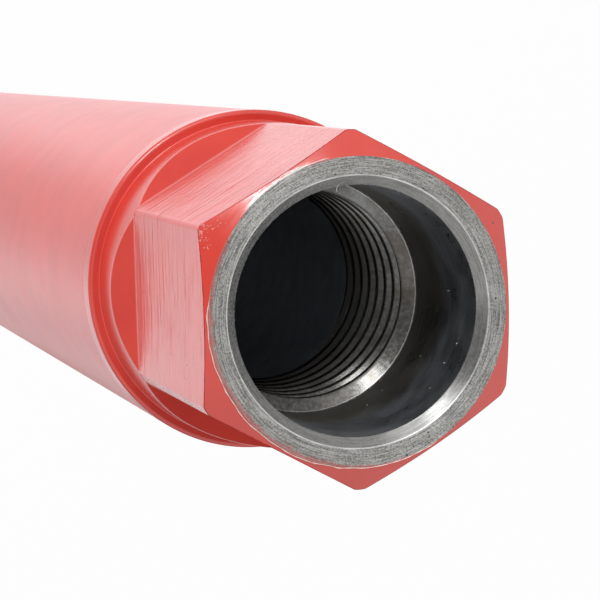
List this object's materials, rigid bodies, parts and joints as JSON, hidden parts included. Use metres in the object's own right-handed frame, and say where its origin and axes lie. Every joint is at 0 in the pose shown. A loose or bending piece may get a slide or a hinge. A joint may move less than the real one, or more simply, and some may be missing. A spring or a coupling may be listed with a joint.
{
  "type": "core drill bit",
  "caption": "Core drill bit: a steel barrel with a crown of cutting segments at one end and a hexagonal connector with a threaded bore at the other.",
  "frame": {"origin": "centre of the crown's cutting face, which the bit stands on", "axes": "+Z along the bit's axis from the crown up to the connector's mouth; +X square to the hexagon's first flat and through the middle of segment_1"},
  "size_m": [0.0517, 0.052, 0.354],
  "materials": {
    "red_paint": "glossy red paint, bare ground steel on the mouth's face and in the bore",
    "segment_metal": "sintered metal with embedded grit, matt"
  },
  "bodies": {
    "root": {"connector": "red_paint", "barrel_tube": "red_paint", "segment_1": "segment_metal", "segment_2": "segment_metal", "segment_3": "segment_metal", "segment_4": "segment_metal", "segment_5": "segment_metal"}
  },
  "joints": []
}
